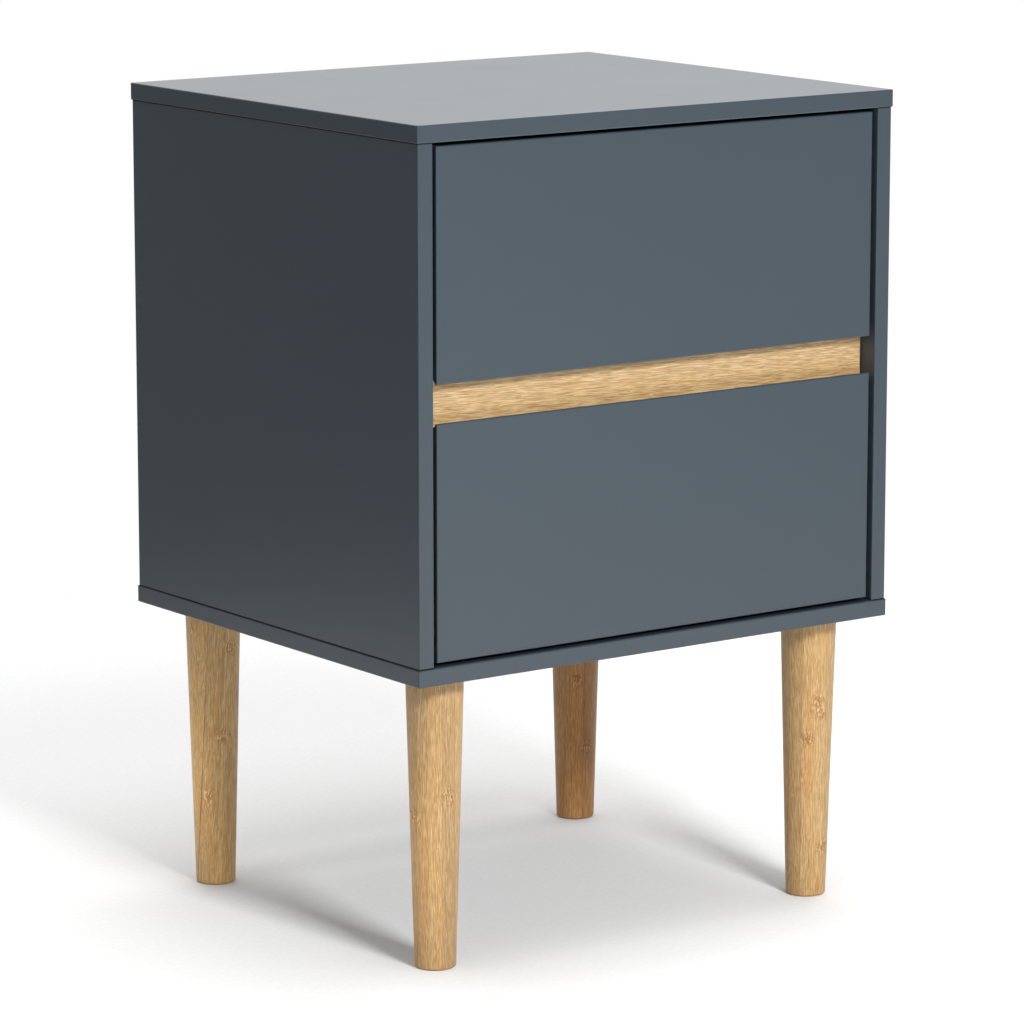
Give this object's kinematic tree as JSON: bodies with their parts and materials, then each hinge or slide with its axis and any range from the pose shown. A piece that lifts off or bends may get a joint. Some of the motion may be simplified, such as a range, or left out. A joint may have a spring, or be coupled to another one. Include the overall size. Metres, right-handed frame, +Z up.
{
  "type": "nightstand with drawers",
  "caption": "Square-edged nightstand with inset drawer fronts, a recessed oak rail as the finger gap, and round tapered legs.",
  "frame": {"origin": "centre of the footprint, on the floor", "axes": "+X to the right seen from the front, +Y to the back, +Z up; the drawers open towards -Y"},
  "size_m": [0.4, 0.35, 0.573],
  "materials": {
    "satin_paint": "satin blue-grey anthracite paint on fibreboard",
    "oak_veneer": "clear matt oak veneer, grain along the rail",
    "bamboo": "turned laminated bamboo, clear matt lacquer",
    "drawer_wood": "solid pale wood, clear matt lacquer",
    "birch_plywood": "sanded birch plywood",
    "beech_dowel": "raw beech",
    "zinc_steel": "bright zinc plated",
    "zinc_fitting": "die-cast zinc and plated steel",
    "bearing_steel": "polished"
  },
  "bodies": {
    "root": {"top_panel": "satin_paint", "bottom_panel": "satin_paint", "left_side_panel": "satin_paint", "right_side_panel": "satin_paint", "back_panel": "satin_paint", "oak_rail": "oak_veneer", "carcass_dowels": "beech_dowel", "rail_dowels": "beech_dowel", "cam_locks": "zinc_fitting", "cam_bolts": "zinc_fitting", "front_left_leg": "bamboo", "front_right_leg": "bamboo", "back_left_leg": "bamboo", "back_right_leg": "bamboo", "leg_hanger_bolts": "zinc_fitting", "leg_flange_nuts": "zinc_fitting", "upper_left_cabinet_runner": "zinc_steel", "upper_right_cabinet_runner": "zinc_steel", "lower_left_cabinet_runner": "zinc_steel", "lower_right_cabinet_runner": "zinc_steel", "cabinet_runner_screws": "zinc_steel"},
    "upper_drawer": {"upper_drawer_front": "satin_paint", "upper_drawer_box_front": "drawer_wood", "upper_drawer_left_side": "drawer_wood", "upper_drawer_right_side": "drawer_wood", "upper_drawer_back": "drawer_wood", "upper_drawer_bottom": "birch_plywood", "upper_drawer_dowels": "beech_dowel", "upper_drawer_front_screws": "zinc_steel", "upper_left_drawer_runner": "zinc_steel", "upper_right_drawer_runner": "zinc_steel", "upper_drawer_runner_screws": "zinc_steel"},
    "lower_drawer": {"lower_drawer_front": "satin_paint", "lower_drawer_box_front": "drawer_wood", "lower_drawer_left_side": "drawer_wood", "lower_drawer_right_side": "drawer_wood", "lower_drawer_back": "drawer_wood", "lower_drawer_bottom": "birch_plywood", "lower_drawer_dowels": "beech_dowel", "lower_drawer_front_screws": "zinc_steel", "lower_left_drawer_runner": "zinc_steel", "lower_right_drawer_runner": "zinc_steel", "lower_drawer_runner_screws": "zinc_steel"},
    "upper_left_cage": {"upper_left_ball_cage": "zinc_steel", "upper_left_balls": "bearing_steel"},
    "upper_right_cage": {"upper_right_ball_cage": "zinc_steel", "upper_right_balls": "bearing_steel"},
    "lower_left_cage": {"lower_left_ball_cage": "zinc_steel", "lower_left_balls": "bearing_steel"},
    "lower_right_cage": {"lower_right_ball_cage": "zinc_steel", "lower_right_balls": "bearing_steel"}
  },
  "joints": [
    {"name": "upper_drawer_slide", "type": "slide", "parent": "root", "child": "upper_drawer", "axis": [0, -1, 0], "range_m": [0, 0.225]},
    {"name": "lower_drawer_slide", "type": "slide", "parent": "root", "child": "lower_drawer", "axis": [0, -1, 0], "range_m": [0, 0.225]},
    {"name": "upper_left_cage_slide", "type": "slide", "parent": "root", "child": "upper_left_cage", "axis": [0, -1, 0], "range_m": [0, 0.1125]},
    {"name": "upper_right_cage_slide", "type": "slide", "parent": "root", "child": "upper_right_cage", "axis": [0, -1, 0], "range_m": [0, 0.1125]},
    {"name": "lower_left_cage_slide", "type": "slide", "parent": "root", "child": "lower_left_cage", "axis": [0, -1, 0], "range_m": [0, 0.1125]},
    {"name": "lower_right_cage_slide", "type": "slide", "parent": "root", "child": "lower_right_cage", "axis": [0, -1, 0], "range_m": [0, 0.1125]}
  ],
  "couplings": [
    {"joint": "upper_left_cage_slide", "follows": "upper_drawer_slide", "ratio": 0.5},
    {"joint": "upper_right_cage_slide", "follows": "upper_drawer_slide", "ratio": 0.5},
    {"joint": "lower_left_cage_slide", "follows": "lower_drawer_slide", "ratio": 0.5},
    {"joint": "lower_right_cage_slide", "follows": "lower_drawer_slide", "ratio": 0.5}
  ]
}
